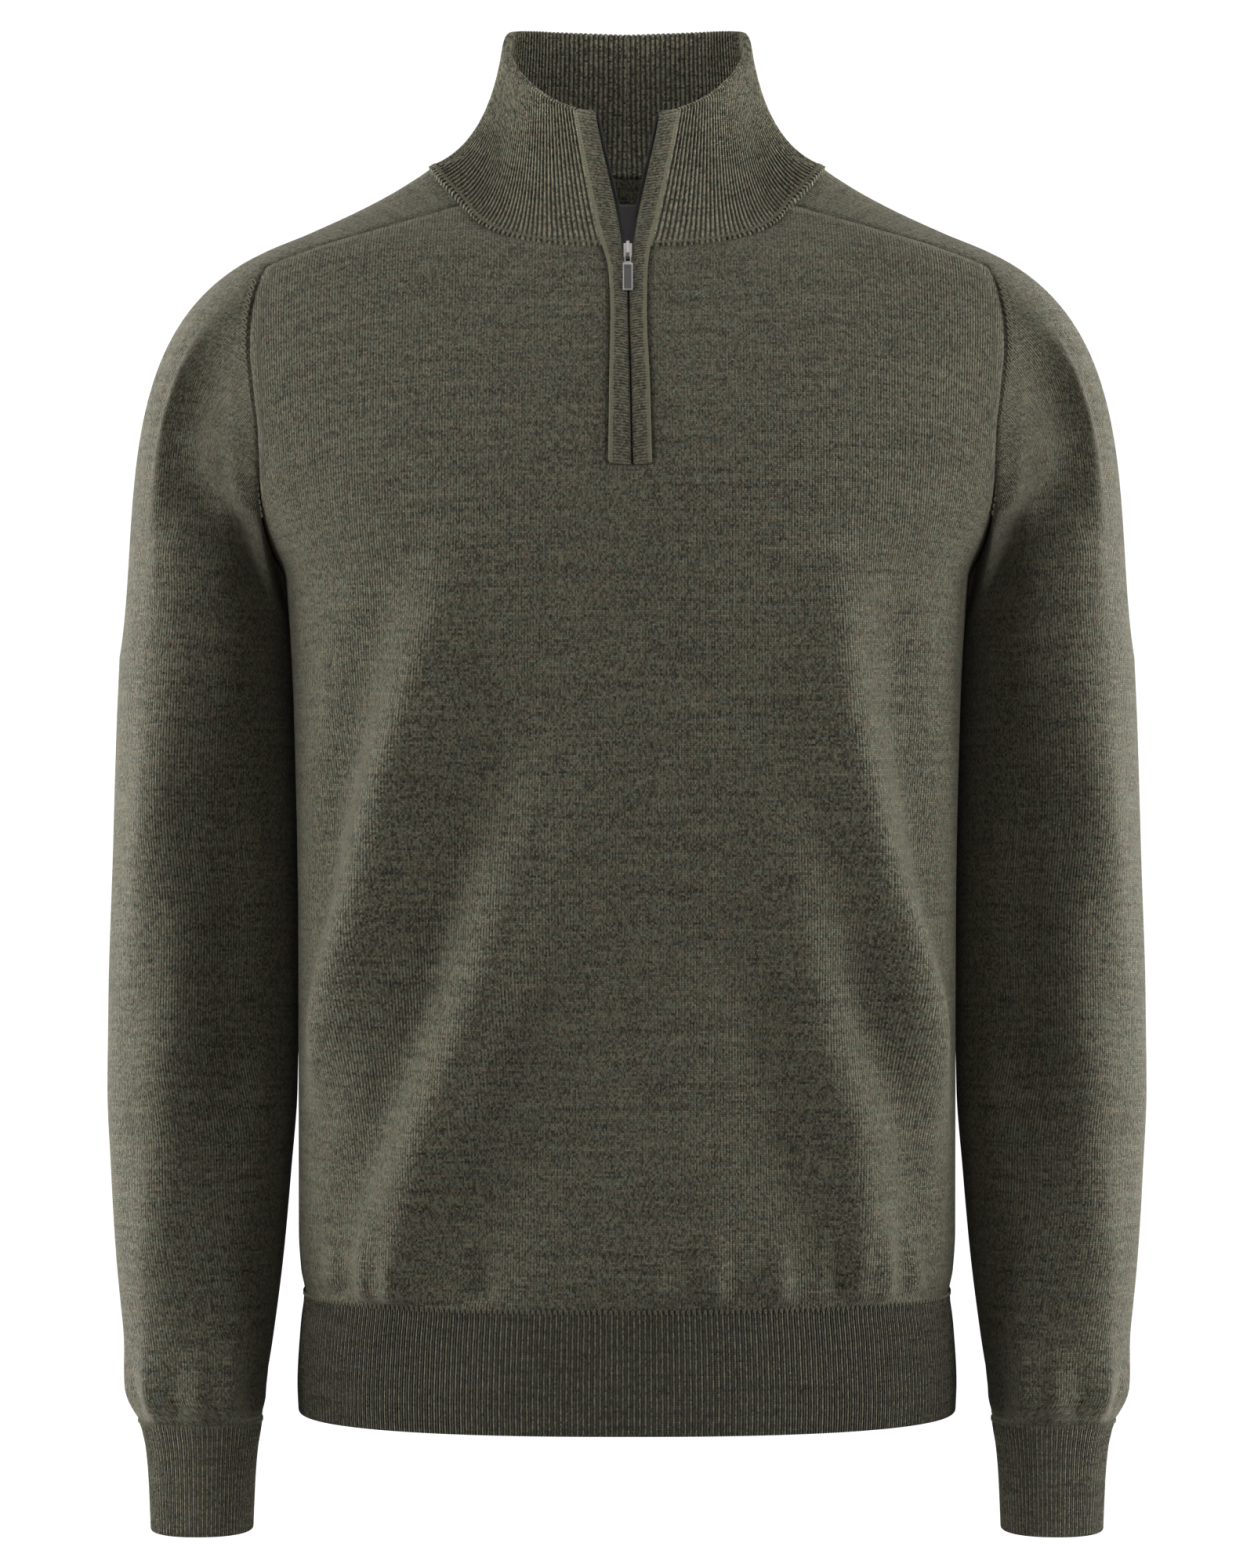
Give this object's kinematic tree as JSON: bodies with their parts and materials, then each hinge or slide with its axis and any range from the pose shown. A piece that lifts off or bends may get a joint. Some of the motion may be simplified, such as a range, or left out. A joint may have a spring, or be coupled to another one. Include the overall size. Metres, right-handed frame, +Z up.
{
  "type": "quarter zip sweater",
  "caption": "Fine knit pullover with saddle sleeves, a ribbed stand collar with a short zip, ribbed hem and cuffs, filled out as worn.",
  "frame": {"origin": "middle of the neck base, level with the neck points of the shoulders, where the wearer's shoulders hold the garment up", "axes": "+Z up, the front faces -Y, +X is the wearer's left"},
  "size_m": [0.5454, 0.2455, 0.7924],
  "materials": {
    "jersey": "fine melange jersey knit, matt",
    "rib": "melange rib knit, matt",
    "tape": "woven zip tape, matt",
    "label": "woven label, slight sheen",
    "nickel": "antique nickel plate, satin"
  },
  "bodies": {
    "garment": {"front_panel": "jersey", "back_panel": "jersey", "sleeve_left": "jersey", "sleeve_right": "jersey", "collar": "rib", "cuff_left": "rib", "cuff_right": "rib", "hem_rib": "rib", "placket_left": "rib", "placket_right": "rib", "zip_tape_left": "tape", "zip_tape_right": "tape", "neck_label": "label", "zip_slider": "nickel"},
    "pull_tab": {"zip_pull_tab": "nickel"}
  },
  "joints": [
    {"name": "pull_tab_swing", "type": "hinge", "parent": "garment", "child": "pull_tab", "pos_m": [0.00039, -0.06973, -0.05737], "axis": [-1, 0, 0], "range_deg": [0, 150]}
  ]
}
